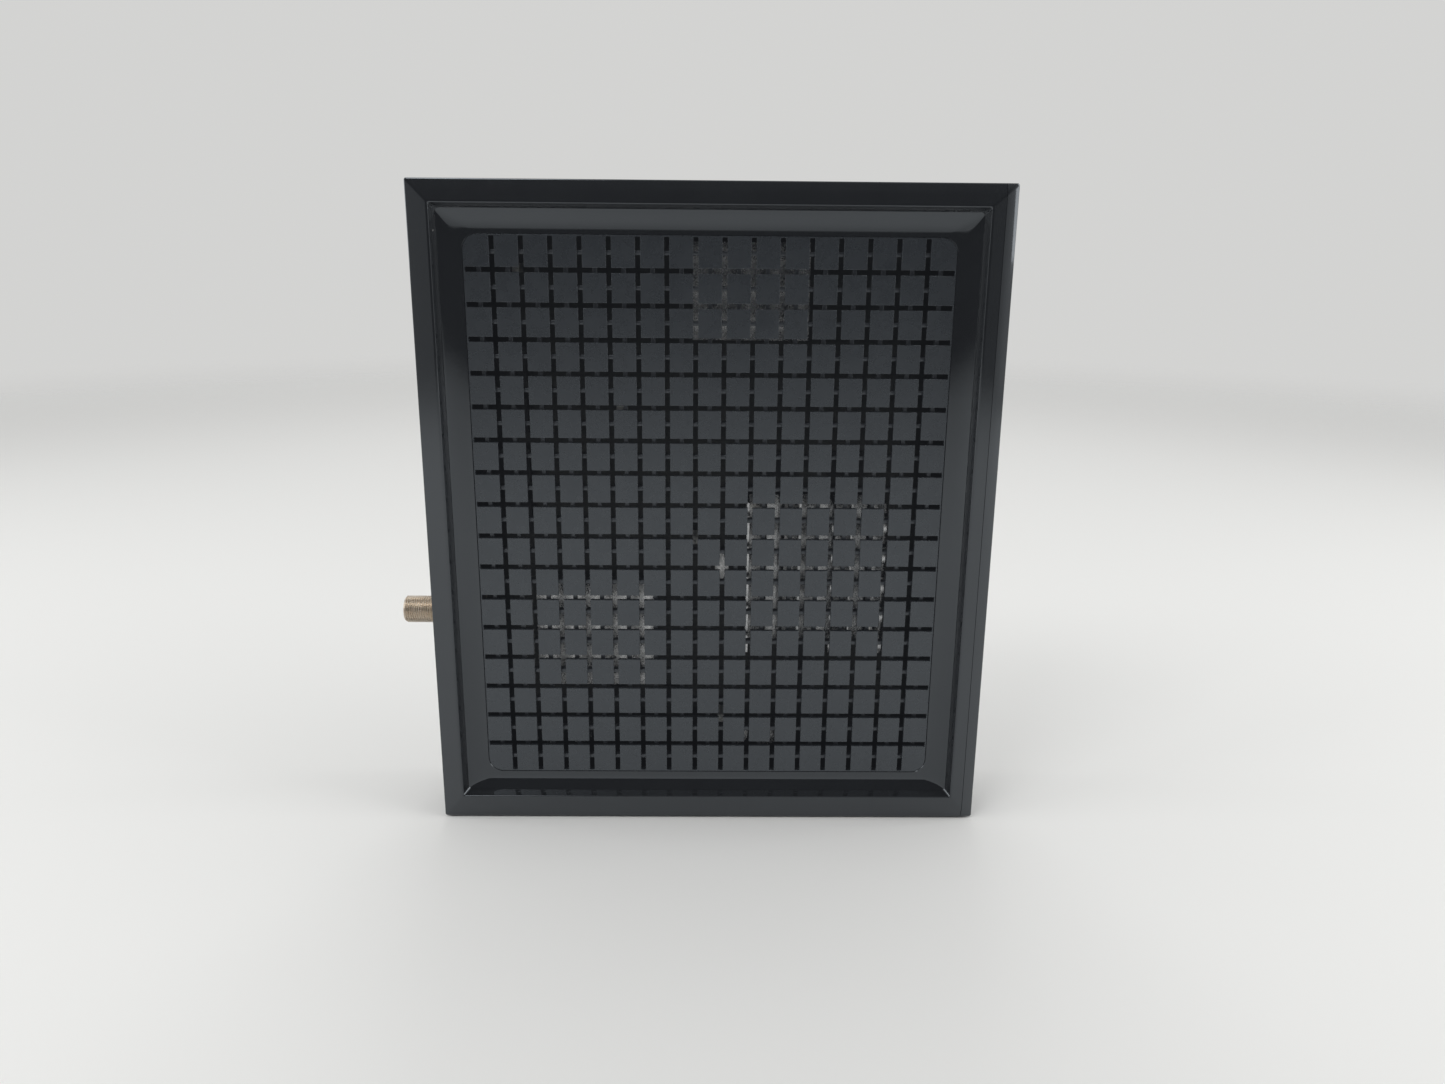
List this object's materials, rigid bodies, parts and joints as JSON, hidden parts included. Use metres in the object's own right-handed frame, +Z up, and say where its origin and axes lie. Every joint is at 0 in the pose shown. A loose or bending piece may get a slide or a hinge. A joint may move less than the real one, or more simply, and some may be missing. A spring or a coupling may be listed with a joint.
{
  "type": "vented coaxial network box",
  "caption": "Upright black electronics box with a glossy frame, a recessed tiled vent grille on each large face and a threaded coaxial socket on one end.",
  "frame": {"origin": "on the surface that the box stands on, under the middle of its case, on the middle rubber foot", "axes": "+Z up; +X towards the end with the status lamps, so the connectors are at -X; the front grille faces -Y"},
  "size_m": [0.202, 0.04, 0.2166],
  "materials": {
    "gloss_black": "glossy moulded black",
    "satin_black": "fine satin texture",
    "clear_plastic": "clear diffusing plastic",
    "lamp_white": "moulded lamp body",
    "button_black": "glossy black",
    "switch_plastic": "moulded switch body",
    "nickel": "nickel plate",
    "insulator_white": "white insulator",
    "contact_gold": "gold plated spring wire",
    "jack_plastic": "black moulded housing",
    "pin_metal": "bright plated",
    "board_green": "green solder mask over glass fibre",
    "can_metal": "tinned sheet",
    "chip_black": "moulded package",
    "pad_grey": "soft filled silicone",
    "sink_aluminium": "clear anodised extrusion",
    "capacitor_sleeve": "can with a printed sleeve",
    "screw_steel": "zinc plated",
    "foot_rubber": "moulded rubber",
    "label_paper": "blank printed film"
  },
  "bodies": {
    "case": {"front_cover": "gloss_black", "rear_cover": "gloss_black", "end_fascia": "gloss_black", "vent_grille": "satin_black", "rear_grille": "satin_black", "light_pipe": "clear_plastic", "status_lamps": "lamp_white", "standby_switch": "switch_plastic", "reset_switch": "switch_plastic", "coax_barrel": "nickel", "coax_washer": "nickel", "coax_nut": "nickel", "coax_insulator": "insulator_white", "coax_contact": "contact_gold", "network_contacts": "contact_gold", "network_socket_1": "jack_plastic", "network_socket_2": "jack_plastic", "network_socket_3": "jack_plastic", "network_socket_4": "jack_plastic", "power_jack": "jack_plastic", "line_transformers": "jack_plastic", "power_jack_pin": "pin_metal", "heat_sink_pins": "pin_metal", "main_board": "board_green", "tuner_shield_can": "can_metal", "radio_shield_can": "can_metal", "crystal_can": "can_metal", "processor_chip": "chip_black", "memory_chips": "chip_black", "flash_chip": "chip_black", "regulator_chips": "chip_black", "power_inductors": "chip_black", "thermal_pad": "pad_grey", "heat_sink": "sink_aluminium", "filter_capacitors": "capacitor_sleeve", "board_screws": "screw_steel", "case_screws": "screw_steel", "rubber_feet": "foot_rubber", "rating_label": "label_paper"},
    "standby_button": {"standby_button": "button_black"},
    "reset_button": {"reset_button": "button_black"}
  },
  "joints": [
    {"name": "standby_press", "type": "slide", "parent": "case", "child": "standby_button", "axis": [-1, 0, 0], "range_m": [0, 0.0008], "stiffness_N_per_m": 2500},
    {"name": "reset_press", "type": "slide", "parent": "case", "child": "reset_button", "axis": [1, 0, 0], "range_m": [0, 0.0004], "stiffness_N_per_m": 4000}
  ]
}
